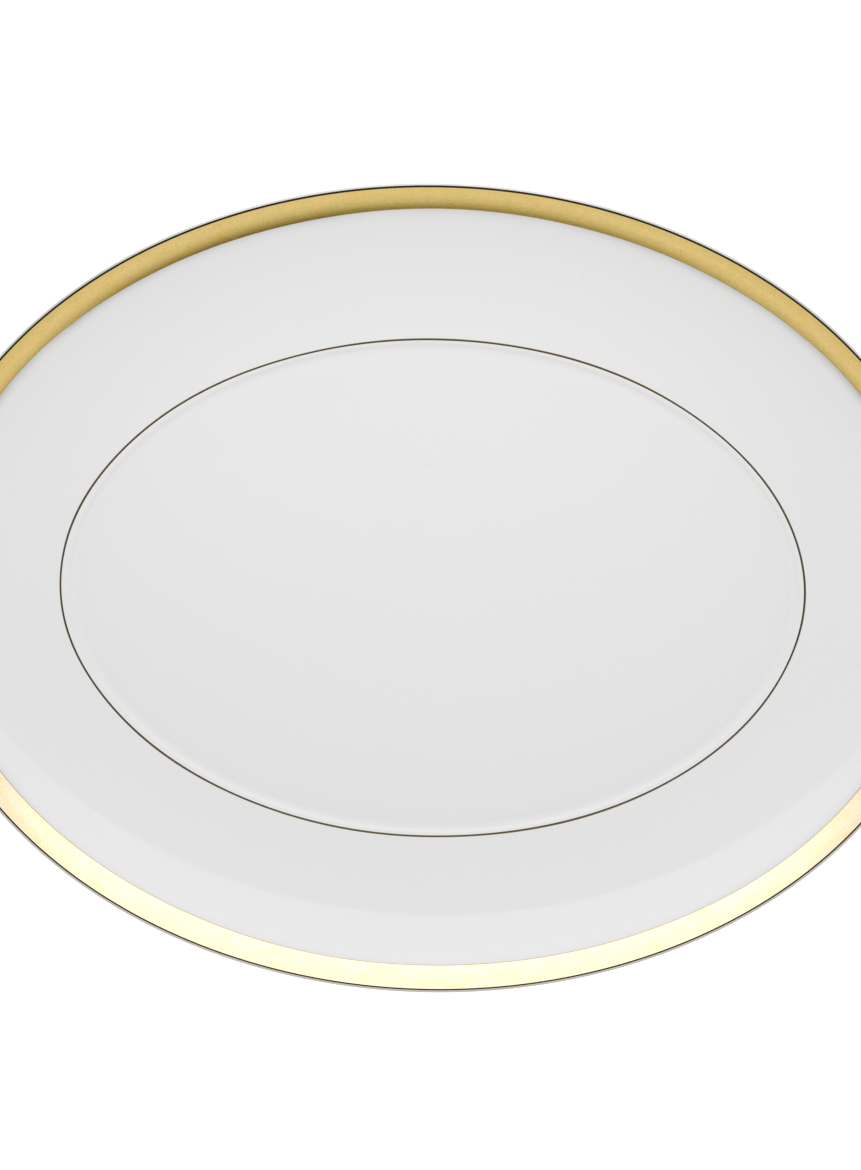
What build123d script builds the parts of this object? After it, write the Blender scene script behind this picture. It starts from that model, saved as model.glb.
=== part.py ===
"""Large oval china serving platter with a gilt rim band and a fine gilt line round the well.

The platter is one fired piece: a porcelain body on a foot ring, a clear glaze over all of it but
the ring's tip, and gold decoration fired on top of the glaze.  Each layer is a solid of its own.

Millimetres.  Origin: middle of the plane the foot ring stands on.  +X runs along the platter,
+Y across it, +Z up.  Everything follows one cross-section, carried round an oval outline made of
tangent arcs, so every arc of the rim is an exact surface of revolution.
"""
from build123d import *
from math import asin, atan2, cos, degrees, hypot, radians, sin
import os

os.makedirs("parts", exist_ok=True)

# ---- driving dimensions -----------------------------------------------------------------------
LENGTH = 410.0                  # overall, along X
WIDTH = 315.6                   # overall, along Y
HEIGHT = 33.0                   # table to the crest of the glazed rim
OVAL_JOINTS = (24.0, 48.0, 71.0)    # degrees round the first quarter where the outline's arcs meet

# cross-section; insets are measured inwards from the outermost edge
RIM_INSET = WIDTH * 0.1915      # to the fine line at the foot of the sloping rim
LIP_RADIUS = 1.1                # rounding of the rim's edge
BASE_THICKNESS = 4.6            # in the middle, glaze included
RECESS_HEIGHT = 4.5             # underside of the base above the table
RIM_FOOT_THICKNESS = 5.2        # at the foot of the sloping rim, glaze included

# shallow relief at the foot of the rim, going inwards: a small crest, a gutter, a crowned well
CREST_SLOPE = 3.0               # degrees, where the rim begins to climb
CREST_RADIUS = 5.0
VERGE_SLOPE = 30.0              # steepest part of the little step down into the gutter
GUTTER_RADIUS = 5.5
CROWN_SLOPE = 5.0               # the well's rise out of the gutter
CROWN_RUN = WIDTH * 0.016       # how far that rise reaches

# foot ring
FOOT_OUTER_INSET = RIM_INSET + 1.5
FOOT_ROOT_WIDTH = 8.5
FOOT_TIP_WIDTH = 4.0
FOOT_DRAFT = 1.3                # the outer flank leans in by this much on its way down
FOOT_FILLET = 2.2
FOOT_TIP_ROUND = 0.9
UNDERSIDE_SLOPE = 6.0           # degrees, underside of the rim where it reaches the foot ring

# coats
GLAZE = 0.35                    # thickness of the glaze
GLAZE_STOP = 1.3                # the glaze ends this high above the table; the tip is bare
GOLD = 0.2                      # thickness given to the fired gold, far more than the real film
BAND_INSET = 10.4               # inner edge of the broad gold band
BAND_OVER_CREST = 10.0          # degrees the band runs past the crest of the lip
HAIRLINE_WIDTH = 0.8

# ---- values worked out from those -------------------------------------------------------------
CROWN_RADIUS = CROWN_RUN / sin(radians(CROWN_SLOPE))
WELL_LEVEL = RECESS_HEIGHT + BASE_THICKNESS
FOOT_INNER_INSET = FOOT_OUTER_INSET + FOOT_ROOT_WIDTH
REACH = 2 * HEIGHT              # a length safely larger than any section feature's height


def up_normal(slope):
    """Unit vector square to a surface that climbs outwards at this slope."""
    return Vector(-sin(radians(slope)), cos(radians(slope)))


def bend(start, slope, new_slope, radius, rise):
    """Arc that leaves start at one slope and ends at another; rise +1 humps up, -1 hollows down."""
    centre = start - up_normal(slope) * radius * rise
    middle = centre + up_normal((slope + new_slope) / 2) * radius * rise
    end = centre + up_normal(new_slope) * radius * rise
    return ThreePointArc(start, middle, end), end


# ---- oval outline -----------------------------------------------------------------------------
def ellipse_radius(turn):
    """Radius of curvature of the matching ellipse where its normal points this way."""
    a, b = LENGTH / 2, WIDTH / 2
    reach = hypot(a * cos(radians(turn)), b * sin(radians(turn)))
    return a * a * b * b / reach ** 3


def oval_radii():
    """Radii of one quarter's arcs, end to side; the outer two are solved to meet both spans."""
    turns = (0.0,) + OVAL_JOINTS + (90.0,)
    spans_x = [cos(radians(p)) - cos(radians(q)) for p, q in zip(turns, turns[1:])]
    spans_y = [sin(radians(q)) - sin(radians(p)) for p, q in zip(turns, turns[1:])]
    inner = [ellipse_radius((p + q) / 2) for p, q in zip(turns[1:], turns[2:-1])]
    left_x = LENGTH / 2 - sum(r * s for r, s in zip(inner, spans_x[1:-1]))
    left_y = WIDTH / 2 - sum(r * s for r, s in zip(inner, spans_y[1:-1]))
    scale = spans_x[0] * spans_y[-1] - spans_x[-1] * spans_y[0]
    end = (left_x * spans_y[-1] - spans_x[-1] * left_y) / scale
    side = (spans_x[0] * left_y - left_x * spans_y[0]) / scale
    return [end] + inner + [side]


def oval_arcs():
    """Centre, radius, first and last angle of every arc, anticlockwise from the +X end."""
    radii = oval_radii()
    around = (radii + radii[-2:0:-1]) * 2
    rising = list(OVAL_JOINTS)
    half_turn = rising + [180 - turn for turn in reversed(rising)]
    joints = [-rising[0]] + half_turn + [180 + turn for turn in half_turn]
    arcs = []
    centre = Vector(LENGTH / 2 - radii[0], 0)
    for index, radius in enumerate(around):
        arcs.append((centre, radius, joints[index], joints[index + 1]))
        following = around[(index + 1) % len(around)]
        turn = radians(joints[index + 1])
        centre = centre + Vector(cos(turn), sin(turn)) * (radius - following)
    return arcs


def carry_round(section):
    """The ring made by carrying a section round the oval; its x is 0 at the outermost edge."""
    ring = Part()
    for centre, radius, first, last in oval_arcs():
        face = Pos(radius, 0, 0) * Plane.XZ * section
        piece = revolve(face, axis=Axis.Z, revolution_arc=last - first)
        ring += Pos(centre.X, centre.Y, 0) * Rot(0, 0, first) * piece
    return ring


def oval_plate(inset, bottom, top):
    """Flat plate filling the oval at an inset, between two heights."""
    edges = []
    for centre, radius, first, last in oval_arcs():
        edges.append(CenterArc(centre, radius - inset, first, last - first))
    return Pos(0, 0, bottom) * extrude(make_face(edges), amount=top - bottom, dir=(0, 0, 1))


# ---- cross-section ----------------------------------------------------------------------------
def section_layout():
    """Key points of the glazed skin, as a dictionary."""
    crown_sin = sin(radians(CROWN_SLOPE))
    verge_sin = sin(radians(VERGE_SLOPE))
    crest_sin = sin(radians(CREST_SLOPE))
    run = CROWN_RUN + GUTTER_RADIUS * (crown_sin + verge_sin) + CREST_RADIUS * (verge_sin - crest_sin)
    crown_inset = RIM_INSET + run
    crown, gutter_start = bend(Vector(-crown_inset, WELL_LEVEL), 0, -CROWN_SLOPE, CROWN_RADIUS, 1)
    gutter, verge = bend(gutter_start, -CROWN_SLOPE, VERGE_SLOPE, GUTTER_RADIUS, -1)
    crest, rim_foot = bend(verge, VERGE_SLOPE, CREST_SLOPE, CREST_RADIUS, 1)
    lip_centre = Vector(-LIP_RADIUS, HEIGHT - LIP_RADIUS)

    # the rim's upper face: hollow, tangent to the crest's slope and to the rounded lip
    rise = up_normal(CREST_SLOPE)
    gap = rim_foot - lip_centre
    rim_radius = (gap.dot(gap) - LIP_RADIUS ** 2) / (2 * (LIP_RADIUS - gap.dot(rise)))
    rim_centre = rim_foot + rise * rim_radius
    to_rim = (rim_centre - lip_centre).normalized()
    lip_slope = degrees(atan2(-to_rim.X, to_rim.Y))

    # the rim's underside: tangent to the lip, at a set slope where it reaches the foot ring
    under_foot = Vector(-FOOT_OUTER_INSET, rim_foot.Y - RIM_FOOT_THICKNESS)
    rise = up_normal(UNDERSIDE_SLOPE)
    gap = under_foot - lip_centre
    under_radius = (gap.dot(gap) - LIP_RADIUS ** 2) / (-2 * (gap.dot(rise) + LIP_RADIUS))
    under_centre = under_foot + rise * under_radius
    to_under = (lip_centre - under_centre).normalized()
    under_slope = degrees(atan2(-to_under.X, to_under.Y))

    # inside this the base is flat above and below
    core_inset = max(crown_inset, FOOT_INNER_INSET + FOOT_FILLET) + BASE_THICKNESS / 2
    return {
        "crown_inset": crown_inset, "core_inset": core_inset, "top": [crown, gutter, crest],
        "rim_foot": rim_foot, "rim_radius": rim_radius, "rim_centre": rim_centre,
        "lip_centre": lip_centre, "lip_slope": lip_slope,
        "under_foot": under_foot, "under_radius": under_radius, "under_slope": under_slope,
    }


LAYOUT = section_layout()


def glazed_skin():
    """Section bounded by the glaze's outside; its foot reaches one glaze thickness too low."""
    edges = list(LAYOUT["top"])
    rim, lip_start = bend(LAYOUT["rim_foot"], CREST_SLOPE, LAYOUT["lip_slope"], LAYOUT["rim_radius"], -1)
    lip, lip_end = bend(lip_start, LAYOUT["lip_slope"], LAYOUT["under_slope"], LIP_RADIUS, 1)
    underside, foot = bend(lip_end, LAYOUT["under_slope"], UNDERSIDE_SLOPE - 180, LAYOUT["under_radius"], 1)
    edges += [rim, lip, underside]

    tip_outer = foot.X - FOOT_DRAFT
    inner_end = -LAYOUT["core_inset"] - REACH
    corners = [
        foot,
        Vector(tip_outer, -GLAZE),
        Vector(tip_outer - FOOT_TIP_WIDTH, -GLAZE),
        Vector(-FOOT_INNER_INSET, RECESS_HEIGHT),
        Vector(inner_end, RECESS_HEIGHT),
        Vector(inner_end, WELL_LEVEL),
        Vector(-LAYOUT["crown_inset"], WELL_LEVEL),
    ]
    for here, there in zip(corners, corners[1:]):
        edges.append(Line(here, there))
    face = make_face(edges)
    root = [corners[0], corners[3]]
    tip = [corners[1], corners[2]]
    for points, radius in ((root, FOOT_FILLET), (tip, FOOT_TIP_ROUND)):
        for point in points:
            nearest = face.vertices().sort_by_distance(Vertex(point.X, point.Y, 0))[0]
            face = fillet(nearest, radius)
    return face


def block(left, right, bottom, top):
    """Rectangle between two section x values and two heights."""
    return Pos((left + right) / 2, (bottom + top) / 2) * Rectangle(right - left, top - bottom)


SKIN = glazed_skin()
BISCUIT = offset(SKIN, amount=-GLAZE)
GILT_SKIN = offset(SKIN, amount=GOLD)
CORE_X = -LAYOUT["core_inset"]
FOOT_MIDDLE_X = LAYOUT["under_foot"].X - FOOT_DRAFT - FOOT_TIP_WIDTH / 2
COAT = SKIN - BISCUIT


def body_section():
    """Biscuit porcelain; its foot tip is the only part that stays bare."""
    return BISCUIT & block(CORE_X, REACH, 0, REACH)


def outer_glaze_section():
    """Glaze over the well and rim, round the lip, and down to the foot ring's outer flank."""
    upper = COAT & block(CORE_X, REACH, WELL_LEVEL - BASE_THICKNESS / 2, REACH)
    lower = COAT & block(FOOT_MIDDLE_X, REACH, GLAZE_STOP, REACH)
    return upper + lower


def recess_glaze_section():
    """Glaze on the underside, inside the foot ring."""
    return COAT & block(CORE_X, FOOT_MIDDLE_X, GLAZE_STOP, WELL_LEVEL - BASE_THICKNESS / 2)


def band_section():
    """Gold from the band's inner edge up to and just over the crest of the lip."""
    centre, radius = LAYOUT["rim_centre"], LAYOUT["rim_radius"]
    slope = degrees(asin((-BAND_INSET - centre.X) / radius))
    inward = centre - up_normal(slope) * radius
    outward = up_normal(-BAND_OVER_CREST)
    lip = LAYOUT["lip_centre"]
    corners = [
        inward - up_normal(slope) * LIP_RADIUS / 2,
        inward + up_normal(slope) * 2 * LIP_RADIUS,
        lip + outward * 3 * LIP_RADIUS,
        lip,
    ]
    window = make_face(Polyline(*corners, close=True))
    return (GILT_SKIN - SKIN) & window


def hairline_section():
    """Fine gold line on the crest at the foot of the rim."""
    level = LAYOUT["rim_foot"].Y
    window = block(-RIM_INSET - HAIRLINE_WIDTH / 2, -RIM_INSET + HAIRLINE_WIDTH / 2, level - 1, level + 1)
    return (GILT_SKIN - SKIN) & window


# ---- pieces -----------------------------------------------------------------------------------
def porcelain_body():
    plate = oval_plate(-CORE_X, RECESS_HEIGHT + GLAZE, WELL_LEVEL - GLAZE)
    return carry_round(body_section()) + plate


def glaze_outer():
    return carry_round(outer_glaze_section()) + oval_plate(-CORE_X, WELL_LEVEL - GLAZE, WELL_LEVEL)


def glaze_base_recess():
    return carry_round(recess_glaze_section()) + oval_plate(-CORE_X, RECESS_HEIGHT, RECESS_HEIGHT + GLAZE)


def gold_rim_band():
    return carry_round(band_section())


def well_hairline():
    return carry_round(hairline_section())


PIECES = [porcelain_body, glaze_outer, glaze_base_recess, gold_rim_band, well_hairline]

for piece in PIECES:
    solid = piece().clean()
    solid.label = piece.__name__
    export_step(solid, f"parts/{piece.__name__}.step")
    size = solid.bounding_box().size
    print(f"{piece.__name__}: {len(solid.solids())} solid, {solid.volume:.0f} mm3, "
          f"{size.X:.1f} x {size.Y:.1f} x {size.Z:.1f}")
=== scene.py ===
"""Looks for the oval china platter: white glazed porcelain, a fired gold rim band and a fine gold
line round the well, on a white table in soft studio light, seen from straight above.

Metres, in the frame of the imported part.  Every piece is the same cross-section as the CAD piece it
stands for, carried round the platter's oval with a much finer mesh.
"""

import math

import bpy
import numpy as np
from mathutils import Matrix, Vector


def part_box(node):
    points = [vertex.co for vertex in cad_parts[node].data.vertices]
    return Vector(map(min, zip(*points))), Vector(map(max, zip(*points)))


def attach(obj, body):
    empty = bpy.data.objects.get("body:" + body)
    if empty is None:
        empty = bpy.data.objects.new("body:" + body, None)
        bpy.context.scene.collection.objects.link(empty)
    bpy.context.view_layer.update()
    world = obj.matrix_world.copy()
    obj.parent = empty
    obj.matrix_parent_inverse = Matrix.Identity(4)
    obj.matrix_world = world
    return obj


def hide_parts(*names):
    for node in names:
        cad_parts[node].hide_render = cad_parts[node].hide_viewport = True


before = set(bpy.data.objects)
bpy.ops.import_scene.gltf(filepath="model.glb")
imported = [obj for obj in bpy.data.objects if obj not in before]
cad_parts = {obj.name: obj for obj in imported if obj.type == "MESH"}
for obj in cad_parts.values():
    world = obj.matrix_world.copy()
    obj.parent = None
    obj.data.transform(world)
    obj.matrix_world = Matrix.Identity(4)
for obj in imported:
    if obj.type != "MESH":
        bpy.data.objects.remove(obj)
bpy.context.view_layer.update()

MM = 0.001

# ---- sizes, millimetres -------------------------------------------------------------------------
glaze_low, glaze_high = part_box("glaze_outer")
LENGTH = (glaze_high.x - glaze_low.x) / MM
WIDTH = (glaze_high.y - glaze_low.y) / MM
HEIGHT = glaze_high.z / MM
RIM_INSET = WIDTH * 0.1915
LIP_RADIUS = 1.1
BASE_THICKNESS = 4.6
RECESS_HEIGHT = 4.5
RIM_FOOT_THICKNESS = 5.2
CREST_SLOPE = 3.0
CREST_RADIUS = 5.0
VERGE_SLOPE = 30.0
GUTTER_RADIUS = 5.5
CROWN_SLOPE = 5.0
CROWN_RUN = WIDTH * 0.016
WELL_CROWN = 0.25               # the middle of the well stands this much above its edge
FOOT_OUTER_INSET = RIM_INSET + 1.5
FOOT_ROOT_WIDTH = 8.5
FOOT_TIP_WIDTH = 4.0
FOOT_DRAFT = 1.3
FOOT_FILLET = 2.2
FOOT_TIP_ROUND = 0.9
UNDERSIDE_SLOPE = 6.0
GLAZE = 0.35
GLAZE_STOP = 1.3
BAND_INSET = 10.4
BAND_OVER_CREST = 10.0
HAIRLINE_WIDTH = 0.8
LINE_SHIFT = 0.36               # the drawn line sits this much outside the crest
FILM = 0.03                     # height of the fired gold above the glaze
LINE_FILM = 0.008               # the fine line is thinner still
FILM_TAPER = 0.2                # the gold thins out over this width at both edges
AROUND = 512                    # mesh steps round the oval

# wandering of hand-painted edges: depth in millimetres, waves round the oval, lead in radians
QUARTER = math.pi / 2
BAND_WAVES = [(0.24, 1, 0), (0.09, 2, QUARTER), (-0.11, 3, QUARTER), (-0.20, 6, 0.45 + QUARTER),
              (0.10, 7, 0.9 + QUARTER), (0.05, 13, 0)]
LINE_WAVES = [(-0.31, 1, QUARTER), (-0.03, 1, 0), (0.52, 2, QUARTER), (-0.13, 3, QUARTER),
              (0.09, 6, 0.8), (0.06, 11, 2.0)]
LINE_WIDTH_WAVES = [(0.040, 5, 1.0), (0.032, 11, 2.2)]


# ---- cross-section ------------------------------------------------------------------------------
class Skin:
    """A chain of surface points, each with its outward normal, in section millimetres.

    x is 0 at the platter's outermost edge and negative inwards; the second value is the height."""

    def __init__(self, start, slope):
        self.points = [np.array(start, float)]
        self.normals = [up_normal(slope)]
        self.slope = slope

    def bend(self, new_slope, radius, rise, steps):
        """Follow an arc to a new slope; rise +1 humps up, -1 hollows down."""
        centre = self.points[-1] - up_normal(self.slope) * radius * rise
        for slope in np.linspace(self.slope, new_slope, steps + 1)[1:]:
            self.points.append(centre + up_normal(slope) * radius * rise)
            self.normals.append(up_normal(slope))
        self.slope = new_slope

    def run_to(self, point, steps):
        """Go straight to a point, keeping the present slope."""
        start = self.points[-1]
        for share in np.linspace(0, 1, steps + 1)[1:]:
            self.points.append(start + (np.array(point, float) - start) * share)
            self.normals.append(up_normal(self.slope))

    def turn_at(self, corner, target, radius, steps):
        """Go straight towards a corner and round it off, ending on the line to the target."""
        toward, away = corner - self.points[-1], target - corner
        slope_in = math.degrees(math.atan2(toward[1], toward[0]))
        slope_out = math.degrees(math.atan2(away[1], away[0]))
        change = (slope_out - slope_in + 180) % 360 - 180
        self.slope += (slope_in - self.slope + 180) % 360 - 180
        cut = radius * math.tan(math.radians(abs(change)) / 2)
        self.run_to(corner - toward / np.linalg.norm(toward) * cut, 2)
        self.bend(self.slope + change, radius, 1 if change < 0 else -1, steps)

    def lifted(self, height, first=0, last=None):
        """Points moved along their normals, from one index up to and including another."""
        last = len(self.points) - 1 if last is None else last
        pairs = zip(self.points[first:last + 1], self.normals[first:last + 1])
        return [p + n * height for p, n in pairs]


def up_normal(slope):
    return np.array([-math.sin(math.radians(slope)), math.cos(math.radians(slope))])


def slope_of(normal):
    return math.degrees(math.atan2(-normal[0], normal[1]))


def section():
    """The glazed skin from the flat of the well outwards, over the lip and back under the base.

    With it come its marks: the numbers of some of its points, and the rim arc's measures."""
    sines = [math.sin(math.radians(s)) for s in (CROWN_SLOPE, VERGE_SLOPE, CREST_SLOPE)]
    crown_sin, verge_sin, crest_sin = sines
    run = CROWN_RUN + GUTTER_RADIUS * (crown_sin + verge_sin) + CREST_RADIUS * (verge_sin - crest_sin)
    well_level = RECESS_HEIGHT + BASE_THICKNESS
    crown_inset = RIM_INSET + run
    foot_inset = FOOT_OUTER_INSET + FOOT_ROOT_WIDTH + FOOT_FILLET

    # inside this the base is flat above and below
    core_inset = max(crown_inset, foot_inset) + BASE_THICKNESS / 2
    skin = Skin((-core_inset, well_level), 0)
    skin.run_to((-crown_inset, well_level), 3)
    skin.bend(-CROWN_SLOPE, CROWN_RUN / crown_sin, 1, 14)
    skin.bend(VERGE_SLOPE, GUTTER_RADIUS, -1, 14)
    skin.bend(CREST_SLOPE, CREST_RADIUS, 1, 10)
    rim_foot = skin.points[-1]

    lip = np.array([-LIP_RADIUS, HEIGHT - LIP_RADIUS])
    gap = rim_foot - lip
    rise = up_normal(CREST_SLOPE)
    rim_radius = (gap @ gap - LIP_RADIUS ** 2) / (2 * (LIP_RADIUS - gap @ rise))
    rim_centre = rim_foot + rise * rim_radius
    lip_slope = slope_of(rim_centre - lip)

    under_foot = np.array([-FOOT_OUTER_INSET, rim_foot[1] - RIM_FOOT_THICKNESS])
    gap = under_foot - lip
    rise = up_normal(UNDERSIDE_SLOPE)
    under_radius = (gap @ gap - LIP_RADIUS ** 2) / (-2 * (gap @ rise + LIP_RADIUS))
    under_slope = slope_of(lip - under_foot - rise * under_radius)

    skin.bend(lip_slope, rim_radius, -1, 44)
    marks = {"lip_start": len(skin.points) - 1}
    skin.bend(under_slope, LIP_RADIUS, 1, 26)
    # the last degree before the foot ring is left to its fillet
    skin.bend(UNDERSIDE_SLOPE - 179, under_radius, 1, 30)

    tip_x = under_foot[0] - FOOT_DRAFT
    tip_outer = np.array([tip_x, -GLAZE])
    tip_inner = np.array([tip_x - FOOT_TIP_WIDTH, -GLAZE])
    root_inner = np.array([under_foot[0] - FOOT_ROOT_WIDTH, RECESS_HEIGHT])
    core = np.array([-core_inset, RECESS_HEIGHT])
    skin.turn_at(under_foot, tip_outer, FOOT_FILLET, 10)
    skin.run_to(at_height(under_foot, tip_outer, GLAZE_STOP), 2)
    marks["outer_stop"] = len(skin.points) - 1
    skin.turn_at(tip_outer, tip_inner, FOOT_TIP_ROUND, 8)
    skin.turn_at(tip_inner, root_inner, FOOT_TIP_ROUND, 8)
    skin.run_to(at_height(tip_inner, root_inner, GLAZE_STOP), 2)
    marks["inner_stop"] = len(skin.points) - 1
    skin.turn_at(root_inner, core, FOOT_FILLET, 10)
    skin.run_to(core, 6)
    marks.update(lip_slope=lip_slope, rim_radius=rim_radius, rim_centre=rim_centre)
    return skin, marks


def at_height(start, end, height):
    """Point of a straight line at a height."""
    share = (height - start[1]) / (end[1] - start[1])
    return start + (end - start) * share


SKIN, MARKS = section()

# the upper face from the flat of the well to the start of the lip, and the length run so far
TOP = np.array(SKIN.points[:MARKS["lip_start"] + 1])
TOP_RUN = np.concatenate([[0], np.cumsum(np.linalg.norm(np.diff(TOP, axis=0), axis=1))])


def height_at(x):
    """Height of the glazed upper face at a section x, from the flat of the well to the lip."""
    return np.interp(x, TOP[:, 0], TOP[:, 1])


# ---- meshes -------------------------------------------------------------------------------------
def oval(steps):
    """Points of the outer oval, their outward unit normals and the length run so far."""
    turn = np.linspace(0, 2 * math.pi, steps, endpoint=False)
    a, b = LENGTH / 2, WIDTH / 2
    points = np.column_stack([a * np.cos(turn), b * np.sin(turn)])
    normals = np.column_stack([np.cos(turn) / a, np.sin(turn) / b])
    normals /= np.linalg.norm(normals, axis=1)[:, None]
    steps_out = np.linalg.norm(np.roll(points, -1, axis=0) - points, axis=1)
    return turn, points, normals, np.concatenate([[0], np.cumsum(steps_out)])


def carry_round(name, xs, heights, closed=False, centre_height=None):
    """Mesh of a section carried round the oval.

    xs and heights are lists, or arrays with a column for each step round the oval.  A closed section
    is a loop.  With a centre height, the oval inside the section's first point is filled."""
    turn, points, normals, run = oval(AROUND)
    xs = np.broadcast_to(np.array(xs, float).reshape(len(xs), -1), (len(xs), AROUND))
    heights = np.broadcast_to(np.array(heights, float).reshape(len(heights), -1), xs.shape)
    rows = [np.column_stack([points + normals * x[:, None], h]) for x, h in zip(xs, heights)]
    across = [0.0]
    for here, there in zip(rows, rows[1:]):
        across.append(across[-1] + float(np.linalg.norm((there - here)[0])))
    if centre_height is not None:
        inner = rows[0]
        shares = np.linspace(0, 1, 42)[1:-1]
        fill = []
        for share in shares:
            ring = inner * [share, share, 1]
            ring[:, 2] = inner[:, 2] + (centre_height - inner[:, 2]) * (1 - share ** 2) ** 2
            fill.append(ring)
        rows = fill + rows
        reach = float(np.linalg.norm(inner[0, :2]))
        across = [reach * (share - 1) for share in shares] + across
    verts = np.vstack(rows)
    count = len(rows)
    faces = []
    uvs = []
    for i in range(count if closed else count - 1):
        following = (i + 1) % count
        low = across[i]
        high = across[following] if following else across[i] + 0.5
        for j in range(AROUND):
            k = (j + 1) % AROUND
            here, there = i * AROUND, following * AROUND
            faces.append((here + j, there + j, there + k, here + k))
            uvs.extend([(run[j], low), (run[j], high), (run[j + 1], high), (run[j + 1], low)])
    if centre_height is not None:
        middle = len(verts)
        verts = np.vstack([verts, [0, 0, centre_height]])
        for j in range(AROUND):
            faces.append((middle, j, (j + 1) % AROUND))
            uvs.extend([(run[j], across[0] - 1), (run[j], across[0]), (run[j + 1], across[0])])
    mesh = bpy.data.meshes.new(name)
    mesh.from_pydata((verts * MM).tolist(), [], faces)
    layer = mesh.uv_layers.new(name="along_rim")
    layer.data.foreach_set("uv", (np.array(uvs) * MM).astype(np.float32).ravel())
    mesh.polygons.foreach_set("use_smooth", [True] * len(faces))
    mesh.update()
    piece = bpy.data.objects.new(name, mesh)
    bpy.context.scene.collection.objects.link(piece)
    return piece


def split(points):
    """Section points as a list of x and a list of heights."""
    return [p[0] for p in points], [p[1] for p in points]


def settle(piece, node, material):
    """Dress a finished mesh and let it stand for its CAD node."""
    piece.data.materials.append(material)
    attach(piece, "root")
    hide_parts(node)


def porcelain_body(material):
    points = SKIN.lifted(-GLAZE)
    points.append(points[0])
    piece = carry_round("biscuit_body", *split(points))
    settle(piece, "porcelain_body", material)


def glaze_outer(material):
    points = SKIN.lifted(0, 0, MARKS["outer_stop"])
    points.append(SKIN.lifted(-GLAZE, MARKS["outer_stop"], MARKS["outer_stop"])[0])
    piece = carry_round("glazed_surface", *split(points), centre_height=points[0][1] + WELL_CROWN)
    settle(piece, "glaze_outer", material)


def glaze_base_recess(material):
    points = SKIN.lifted(-GLAZE, MARKS["inner_stop"], MARKS["inner_stop"])
    points += SKIN.lifted(0, MARKS["inner_stop"])
    points.reverse()
    piece = carry_round("glazed_recess", *split(points), centre_height=RECESS_HEIGHT)
    piece.data.flip_normals()
    settle(piece, "glaze_base_recess", material)


def gold_rim_band(material):
    """The band is painted by hand, so its inner edge wanders a little round the oval."""
    edge = -BAND_INSET + wander(BAND_WAVES)
    shares = np.concatenate([[0, 0.006, 0.012, 0.02, 0.035], np.linspace(0.06, 1, 15)])
    xs = edge[None, :] + shares[:, None] * (TOP[-1, 0] - edge)[None, :]
    heights = height_at(xs)
    slopes = np.arcsin((xs - MARKS["rim_centre"][0]) / MARKS["rim_radius"])
    skin = Skin(SKIN.points[MARKS["lip_start"]], MARKS["lip_slope"])
    skin.bend(-BAND_OVER_CREST, LIP_RADIUS, 1, 26)
    points, normals = np.array(skin.points[1:]), np.array(skin.normals[1:])
    xs = np.vstack([xs, np.repeat(points[:, :1], AROUND, 1)])
    heights = np.vstack([heights, np.repeat(points[:, 1:], AROUND, 1)])
    out_x = np.vstack([-np.sin(slopes), np.repeat(normals[:, :1], AROUND, 1)])
    out_z = np.vstack([np.cos(slopes), np.repeat(normals[:, 1:], AROUND, 1)])
    widths = xs - edge[None, :]
    to_end = np.minimum(widths, widths[-1] - widths)
    lift = FILM * np.sqrt(np.clip(to_end / FILM_TAPER, 0, 1))
    loop_xs = np.vstack([xs + out_x * lift, (xs - out_x * FILM)[::-1]])
    loop_heights = np.vstack([heights + out_z * lift, (heights - out_z * FILM)[::-1]])
    piece = carry_round("gold_rim_band_film", loop_xs, loop_heights, closed=True)
    settle(piece, "gold_rim_band", material)


def well_hairline(material):
    """The line is drawn by hand, so its place and width wander a little round the oval."""
    place = -RIM_INSET + LINE_SHIFT + wander(LINE_WAVES)
    width = HAIRLINE_WIDTH + wander(LINE_WIDTH_WAVES)
    across = np.linspace(-0.5, 0.5, 9)
    xs = place[None, :] + across[:, None] * width[None, :]
    lift = LINE_FILM * np.sqrt(np.clip((0.5 - np.abs(across)) / 0.25, 0, 1))[:, None]
    loop_xs = np.vstack([xs, xs[::-1]])
    loop_heights = np.vstack([height_at(xs) + lift, height_at(xs[::-1]) - FILM])
    piece = carry_round("well_hairline_film", loop_xs, loop_heights, closed=True)
    settle(piece, "well_hairline", material)


def wander(waves):
    """How far something painted by hand strays outwards at each step round the oval."""
    turn = oval(AROUND)[0]
    return sum(depth * np.sin(count * turn + lead) for depth, count, lead in waves)


# ---- materials ----------------------------------------------------------------------------------
ALONG_X = (1.0, 0.0, 0.0)
ALONG_Y = (0.0, 1.0, 0.0)
# reach of the painted shade on the glaze beside the gold band
BAND_SHADE_REACH = 0.0062             # metres
PRICK_SPACING = 0.0036          # metres between pinpricks in the gold
PRICK_SIZE = 0.0002


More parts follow.
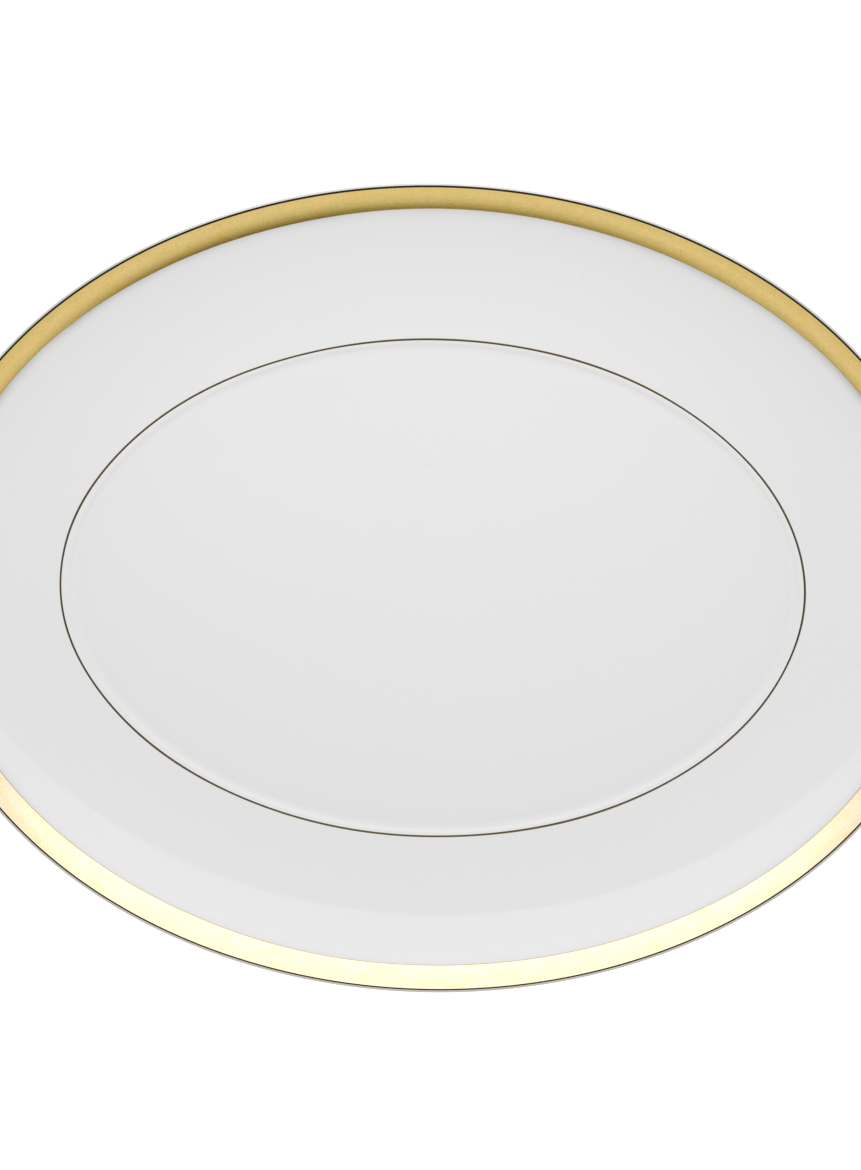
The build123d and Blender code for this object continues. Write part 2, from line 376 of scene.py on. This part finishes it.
class Shader:
    """A material being put together, with short calls for the nodes used here."""

    def __init__(self, name):
        self.material = bpy.data.materials.new(name)
        self.material.use_nodes = True
        self.tree = self.material.node_tree
        self.surface = self.tree.nodes["Principled BSDF"]
        self.place = self.node("ShaderNodeTexCoord").outputs["Object"]

    def node(self, kind, **settings):
        made = self.tree.nodes.new(kind)
        for key, value in settings.items():
            setattr(made, key, value)
        return made

    def link(self, source, target):
        self.tree.links.new(source, target)

    def set(self, **values):
        for key, value in values.items():
            self.surface.inputs[key.replace("_", " ")].default_value = value

    def noise(self, scale, detail=2.0, roughness=0.5, vector=None):
        """Cloudy noise, 0 to 1, with this many blotches to the metre."""
        made = self.node("ShaderNodeTexNoise")
        made.inputs["Scale"].default_value = scale
        made.inputs["Detail"].default_value = detail
        made.inputs["Roughness"].default_value = roughness
        self.link(vector or self.place, made.inputs["Vector"])
        return made.outputs["Fac"]

    def specks(self, spacing, size, vector=None):
        """1 inside small scattered dots, 0 elsewhere; spacing and size in metres."""
        made = self.node("ShaderNodeTexVoronoi")
        made.inputs["Scale"].default_value = 1 / spacing
        self.link(vector or self.place, made.inputs["Vector"])
        return self.remap(made.outputs["Distance"], size / spacing, 0.4 * size / spacing, 0, 1)

    def remap(self, value, low, high, to_low, to_high):
        made = self.node("ShaderNodeMapRange")
        ends = {"From Min": low, "From Max": high, "To Min": to_low, "To Max": to_high}
        for key, number in ends.items():
            made.inputs[key].default_value = number
        self.link(value, made.inputs["Value"])
        return made.outputs["Result"]

    def blend(self, amount, first, second):
        """Colour between two colours or sockets."""
        made = self.node("ShaderNodeMix", data_type="RGBA")
        self.link(amount, made.inputs["Factor"])
        for colour, target in ((first, made.inputs[6]), (second, made.inputs[7])):
            if isinstance(colour, tuple):
                target.default_value = (*colour, 1)
            else:
                self.link(colour, target)
        return made.outputs[2]

    def stretched(self, along, across):
        """Coordinates that run along the rim, stretched by these factors."""
        marked = self.node("ShaderNodeUVMap", uv_map="along_rim")
        mapping = self.node("ShaderNodeMapping")
        mapping.inputs["Scale"].default_value = (along, across, 1)
        self.link(marked.outputs["UV"], mapping.inputs["Vector"])
        return mapping.outputs["Vector"]

    def across(self):
        """Distance across the section, in metres, counted from where the mesh's section starts."""
        apart = self.node("ShaderNodeSeparateXYZ")
        self.link(self.stretched(1, 1), apart.inputs["Vector"])
        return apart.outputs["Y"]

    def dot(self, direction):
        """How far along a direction a point lies, in metres."""
        made = self.node("ShaderNodeVectorMath", operation="DOT_PRODUCT")
        self.link(self.place, made.inputs[0])
        made.inputs[1].default_value = direction
        return made.outputs["Value"]

    def absolute(self, value):
        made = self.node("ShaderNodeMath", operation="ABSOLUTE")
        self.link(value, made.inputs[0])
        return made.outputs[0]

    def product(self, first, second):
        made = self.node("ShaderNodeMath", operation="MULTIPLY")
        for value, target in ((first, made.inputs[0]), (second, made.inputs[1])):
            if isinstance(value, float):
                target.default_value = value
            else:
                self.link(value, target)
        return made.outputs[0]

    def bump(self, height, depth, under=None):
        """Relief of this depth in metres, on top of any relief already there."""
        made = self.node("ShaderNodeBump")
        made.inputs["Strength"].default_value = 1.0
        made.inputs["Distance"].default_value = depth
        self.link(height, made.inputs["Height"])
        if under is not None:
            self.link(under, made.inputs["Normal"])
        self.link(made.outputs["Normal"], self.surface.inputs["Normal"])
        return made.outputs["Normal"]


def painted_shade_by_band(s):
    """Painted shade on the glaze beside the gold band: cloudy, strongest on the +Y side and at the
    platter's ends.
    """
    band_edge = float(np.interp(-BAND_INSET, TOP[:, 0], TOP_RUN)) * MM
    near = s.remap(s.across(), band_edge - BAND_SHADE_REACH, band_edge, 0, 1)
    near = s.product(near, s.product(near, near))
    side = s.remap(s.dot(ALONG_Y), -0.11, 0.10, 0.25, 1.0)
    end = s.remap(s.absolute(s.dot(ALONG_X)), 0.03, 0.13, 0.45, 1.0)
    cloudy = s.remap(s.noise(38, 3, 0.6), 0.3, 0.7, 0.55, 1.0)
    return s.product(s.product(near, side), s.product(end, cloudy))


def lip_painted_shade(s):
    """Thin warm painted shade on the lip outside the gold, deeper on the -Y side."""
    lip_turn = math.radians(MARKS["lip_slope"] + BAND_OVER_CREST)
    gold_end = (TOP_RUN[-1] + LIP_RADIUS * lip_turn) * MM
    starting = s.remap(s.across(), gold_end, gold_end + 0.0002, 0, 1)
    fading = s.remap(s.across(), gold_end + 0.0025, gold_end + 0.006, 1, 0)
    side = s.remap(s.dot(ALONG_Y), -0.13, 0.13, 0.95, 0.25)
    return s.product(s.product(starting, fading), side)


def porcelain_glaze():
    """White hard-paste porcelain under a clear, slightly rippled gloss glaze with a few specks."""
    s = Shader("porcelain_glaze")
    s.set(IOR=1.5, Specular_IOR_Level=0.47)
    clouds = s.blend(s.noise(9, 3), (0.79, 0.79, 0.79), (0.802, 0.802, 0.802))
    spotted = s.blend(s.specks(0.021, 0.00034), clouds, (0.50, 0.49, 0.47))
    # painted shade: the glaze beside the gold band is greyed, most on the +Y side and at the ends
    shaded_by_band = s.blend(painted_shade_by_band(s), spotted, (0.46, 0.46, 0.465))
    # painted shade: the glaze lip outside the gold is darkened and warmed, most on the -Y side
    lip_shaded = s.blend(lip_painted_shade(s), shaded_by_band, (0.56, 0.53, 0.47))
    s.link(lip_shaded, s.surface.inputs["Base Color"])
    s.link(s.remap(s.noise(60, 3), 0.3, 0.7, 0.03, 0.06), s.surface.inputs["Roughness"])
    ripple = s.bump(s.noise(22, 1), 0.00003)
    s.bump(s.noise(190, 2), 0.0000035, ripple)
    return s.material


def biscuit():
    """Bare fired clay of the foot ring's tip: matt, finely grained, a little soiled by use."""
    s = Shader("biscuit_porcelain")
    clean = s.blend(s.noise(260, 4), (0.74, 0.72, 0.68), (0.80, 0.785, 0.75))
    soiled = s.blend(s.remap(s.noise(45, 5, 0.65), 0.52, 0.72, 0, 0.6), clean, (0.50, 0.47, 0.43))
    s.link(soiled, s.surface.inputs["Base Color"])
    s.link(s.remap(s.noise(400, 2), 0.3, 0.7, 0.72, 0.92), s.surface.inputs["Roughness"])
    s.bump(s.noise(2600, 3, 0.6), 0.00002)
    return s.material


def fired_gold(name, deep, bright, roughness):
    """Burnished gold fired on the glaze: faint strokes along the rim, fine grain and pinpricks.

    It is redder in some patches and greener in others, thin and dark at its inner edge, and painted
    almost black on top of the lip as a painted dark reflection, in a slightly broader line on the +Y
    side."""
    s = Shader(name)
    s.set(Metallic=1.0)
    strokes = s.noise(1.0, 3, 0.55, s.stretched(28, 900))
    tone = s.blend(s.remap(strokes, 0.3, 0.7, 0, 1), deep, bright)
    red = s.remap(s.noise(1.0, 4, 0.65, s.stretched(95, 190)), 0.48, 0.68, 0, 0.8)
    tone = s.blend(red, tone, (0.97 * bright[0], 0.91 * bright[1], 0.70 * bright[2]))
    green = s.remap(s.noise(130, 4, 0.65), 0.54, 0.72, 0, 0.8)
    tone = s.blend(green, tone, (0.88 * bright[0], 0.93 * bright[1], 0.84 * bright[2]))
    grain = s.remap(s.noise(1500, 3, 0.7), 0.42, 0.72, 0, 0.6)
    tone = s.blend(grain, tone, (0.80 * deep[0], 0.78 * deep[1], 0.68 * deep[2]))
    pricked = s.blend(s.specks(PRICK_SPACING, PRICK_SIZE), tone, tuple(0.42 * c for c in deep))
    thin = s.remap(s.across(), 0.00055, 0.00015, 0, 0.75)
    edged = s.blend(thin, pricked, (0.30 * deep[0], 0.26 * deep[1], 0.26 * deep[2]))
    top = HEIGHT * MM
    # painted dark reflection: the gold on top of the lip is painted nearly black, a little broader on
    # the +Y side
    painted_dark_reflection = s.remap(s.dot((0.0, 0.00032, 1.0)), top - 0.00012, top - 0.00006, 0, 0.93)
    s.link(s.blend(painted_dark_reflection, edged, (0.06, 0.045, 0.025)), s.surface.inputs["Base Color"])
    s.link(s.remap(s.noise(420, 4, 0.6), 0.3, 0.7, *roughness), s.surface.inputs["Roughness"])
    fine = s.bump(s.noise(900, 3, 0.6), 0.000006)
    waves = s.bump(s.noise(1.0, 2, 0.5, s.stretched(60, 420)), 0.000004, fine)
    s.bump(s.specks(PRICK_SPACING, PRICK_SIZE), -0.000006, waves)
    return s.material


# ---- studio -------------------------------------------------------------------------------------
# brightness seen in the glaze and the gold: places up the softbox or the room, each with its level
SOFTBOX = [(0.0, 1.1), (0.2, 1.25), (0.3, 1.37), (0.37, 1.5), (0.45, 1.6), (0.55, 1.55), (0.65, 1.45),
           (0.78, 1.42), (0.95, 1.38), (0.99, 0.27), (1.0, 0.26)]
ROOM = [(0.0, 0.62), (0.2, 0.70), (0.262, 0.80), (0.305, 0.76), (0.343, 0.66), (0.378, 0.47),
        (0.400, 0.27), (0.417, 0.11), (0.440, 0.04), (0.50, 0.02), (0.56, 0.008), (1.0, 0.005)]
# red, green and blue of the room, as a base and a gain with brightness: warmer where it is dim
ROOM_TINT = [(1.0, 0.0), (0.835, 0.075), (0.15, 0.44)]
CEILING = (0.27, 0.26, 0.24)
CEILING_STARTS = (0.50, 0.72)   # heights between which the room gives way to the ceiling
ROOM_TO_SOFTBOX = (-0.18, 0.22)     # along Y, where the room gives way to the softbox
TENT = (0.985, 0.03, -0.20)     # brightness lighting matt surfaces: level, change along +Y, with height
LAMP_PLACE = (0, 0.30, 0.45)    # metres
LAMP_SIZE = 0.4
LAMP_WATTS = 0.72
TABLE_RADIUS = 40               # metres
CAMERA_HEIGHT = 8.0             # metres above the rim
PICTURE_HEIGHT = LENGTH * 1.11217   # millimetres; the picture's width cuts off both ends
CAMERA_ASIDE = (-1.25, 1.10)    # millimetres, along the picture's width and height
CAMERA_ROLL = 1.27              # degrees


def maths(tree, operation, first, second):
    """Sum, product and so on of two sockets or numbers."""
    made = tree.nodes.new("ShaderNodeMath")
    made.operation = operation
    for value, target in ((first, made.inputs[0]), (second, made.inputs[1])):
        if isinstance(value, (int, float)):
            target.default_value = value
        else:
            tree.links.new(value, target)
    return made.outputs[0]


def grey_ramp(tree, value, stops):
    """Brightness looked up over 0 to 1 in a list of stops."""
    full = max(level for place, level in stops)
    ramp = tree.nodes.new("ShaderNodeValToRGB")
    elements = ramp.color_ramp.elements
    while len(elements) < len(stops):
        elements.new(0.5)
    for element, (place, level) in zip(elements, stops):
        element.position = place
        element.color = (level / full, level / full, level / full, 1)
    tree.links.new(value, ramp.inputs["Fac"])
    return maths(tree, "MULTIPLY", ramp.outputs["Color"], full)


def greyed(tree, level):
    """Grey as bright as a socket says."""
    made = tree.nodes.new("ShaderNodeVectorMath")
    made.operation = "SCALE"
    made.inputs[0].default_value = (1, 1, 1)
    tree.links.new(level, made.inputs["Scale"])
    return made.outputs["Vector"]


def mixed(tree, amount, first, second):
    """Colour between two colour sockets, for an amount from 0 to 1."""
    made = tree.nodes.new("ShaderNodeMix")
    made.data_type = "VECTOR"
    tree.links.new(amount, made.inputs["Factor"])
    tree.links.new(first, made.inputs[4])
    tree.links.new(second, made.inputs[5])
    return made.outputs[1]


def gradual(tree, value, low, high):
    """0 below one value, 1 above another and smooth between them."""
    made = tree.nodes.new("ShaderNodeMapRange")
    made.interpolation_type = "SMOOTHSTEP"
    made.inputs["From Min"].default_value = low
    made.inputs["From Max"].default_value = high
    tree.links.new(value, made.inputs["Value"])
    return made.outputs["Result"]


def studio_surroundings():
    """A tall softbox along the +Y side, a plain warm room on the other, and a dim ceiling.

    Matt surfaces see an even white tent instead, as if the room were full of bounced light."""
    world = bpy.data.worlds.new("studio")
    bpy.context.scene.world = world
    world.use_nodes = True
    world.cycles.sampling_method = "NONE"
    tree = world.node_tree
    background = tree.nodes["Background"]
    apart = tree.nodes.new("ShaderNodeSeparateXYZ")
    tree.links.new(tree.nodes.new("ShaderNodeTexCoord").outputs["Generated"], apart.inputs["Vector"])
    aside, up = apart.outputs["Y"], apart.outputs["Z"]

    # the softbox's top edge drops away to either side, and it is brightest straight on
    spread = maths(tree, "POWER", maths(tree, "MAXIMUM", aside, 0.02), 0.55)
    softbox = grey_ramp(tree, maths(tree, "DIVIDE", up, spread), SOFTBOX)
    level_part = maths(tree, "SUBTRACT", 1.0001, maths(tree, "MULTIPLY", up, up))
    level_part = maths(tree, "POWER", level_part, 0.5)
    straight_on = maths(tree, "MULTIPLY", maths(tree, "DIVIDE", aside, level_part), 1.35)
    straight_on = maths(tree, "SUBTRACT", straight_on, 0.16)
    straight_on = maths(tree, "MINIMUM", maths(tree, "MAXIMUM", straight_on, 0.35), 1.0)
    softbox = maths(tree, "MULTIPLY", softbox, straight_on)

    # the room is lit a little higher up to either side
    along = apart.outputs["X"]
    lift = maths(tree, "SUBTRACT", maths(tree, "MULTIPLY", along, 0.16), 0.03)
    lift = maths(tree, "MINIMUM", maths(tree, "MULTIPLY", along, lift), 0.05)
    room = grey_ramp(tree, maths(tree, "SUBTRACT", up, lift), ROOM)
    warm = tree.nodes.new("ShaderNodeCombineXYZ")
    for target, (base, gain) in zip(warm.inputs, ROOM_TINT):
        warmth = maths(tree, "ADD", maths(tree, "MULTIPLY", room, gain), base)
        tree.links.new(maths(tree, "MULTIPLY", room, warmth), target)
    ceiling = tree.nodes.new("ShaderNodeCombineXYZ")
    for target, level in zip(ceiling.inputs, CEILING):
        target.default_value = level
    overhead = gradual(tree, up, *CEILING_STARTS)
    indoors = mixed(tree, overhead, warm.outputs["Vector"], ceiling.outputs["Vector"])
    facing = gradual(tree, aside, *ROOM_TO_SOFTBOX)
    seen = mixed(tree, facing, indoors, greyed(tree, softbox))

    level, toward_y, toward_top = TENT
    tent = maths(tree, "ADD", maths(tree, "MULTIPLY", aside, toward_y), level)
    tent = maths(tree, "ADD", tent, maths(tree, "MULTIPLY", up, toward_top))
    matt = tree.nodes.new("ShaderNodeLightPath").outputs["Is Diffuse Ray"]
    tree.links.new(mixed(tree, matt, seen, greyed(tree, tent)), background.inputs["Color"])
    background.inputs["Strength"].default_value = 1.0


def lamp_above():
    """Broad lamp over the +Y side of the table; it is kept out of reflections."""
    data = bpy.data.lights.new("lamp_above", "AREA")
    data.size = LAMP_SIZE
    data.energy = LAMP_WATTS
    lamp = bpy.data.objects.new("lamp_above", data)
    lamp.location = LAMP_PLACE
    lamp.rotation_euler = (-math.atan2(LAMP_PLACE[1], LAMP_PLACE[2]), 0, 0)
    lamp.visible_glossy = False
    lamp.visible_camera = False
    bpy.context.scene.collection.objects.link(lamp)


def table():
    """White table top, glowing slightly like a lit sweep so that it stays paper white."""
    s = Shader("white_table")
    s.set(Roughness=0.9, Specular_IOR_Level=0.1, Emission_Color=(1, 1, 1, 1), Emission_Strength=0.62)
    clouds = s.blend(s.noise(3, 3), (0.80, 0.80, 0.80), (0.83, 0.83, 0.83))
    s.link(clouds, s.surface.inputs["Base Color"])
    bpy.ops.mesh.primitive_circle_add(vertices=96, radius=TABLE_RADIUS, fill_type="NGON")
    floor = bpy.context.object
    floor.name = "table_top"
    floor.data.materials.append(s.material)


def camera():
    """Straight above, far off on a long lens; the platter lies a touch askew in the frame."""
    roll = math.radians(CAMERA_ROLL)
    data = bpy.data.cameras.new("camera")
    data.sensor_width = 36
    data.lens = data.sensor_width * CAMERA_HEIGHT / (PICTURE_HEIGHT * MM)
    data.clip_start = 0.1
    data.clip_end = 200
    eye = bpy.data.objects.new("camera", data)
    aside = Vector(CAMERA_ASIDE) * MM
    across = Vector((math.cos(roll), math.sin(roll)))
    upward = Vector((-math.sin(roll), math.cos(roll)))
    middle = across * aside.x + upward * aside.y
    eye.location = (middle.x, middle.y, HEIGHT * MM + CAMERA_HEIGHT)
    eye.rotation_euler = (0, 0, roll)
    bpy.context.scene.collection.objects.link(eye)
    bpy.context.scene.camera = eye


glaze = porcelain_glaze()
band_gold = fired_gold("rim_gold", (0.96, 0.795, 0.555), (1.0, 0.85, 0.62), (0.08, 0.15))
# painted shade: the fine line is the same fired gold as the band, given darker colours to stand in for
# the dark it reflects
line_gold_painted_dark = fired_gold("line_gold_painted_dark", (0.52, 0.40, 0.23), (0.61, 0.48, 0.28), (0.06, 0.10))
porcelain_body(biscuit())
glaze_outer(glaze)
glaze_base_recess(glaze)
gold_rim_band(band_gold)
well_hairline(line_gold_painted_dark)

studio_surroundings()
lamp_above()
table()
camera()
bpy.context.scene.view_settings.view_transform = "Standard"
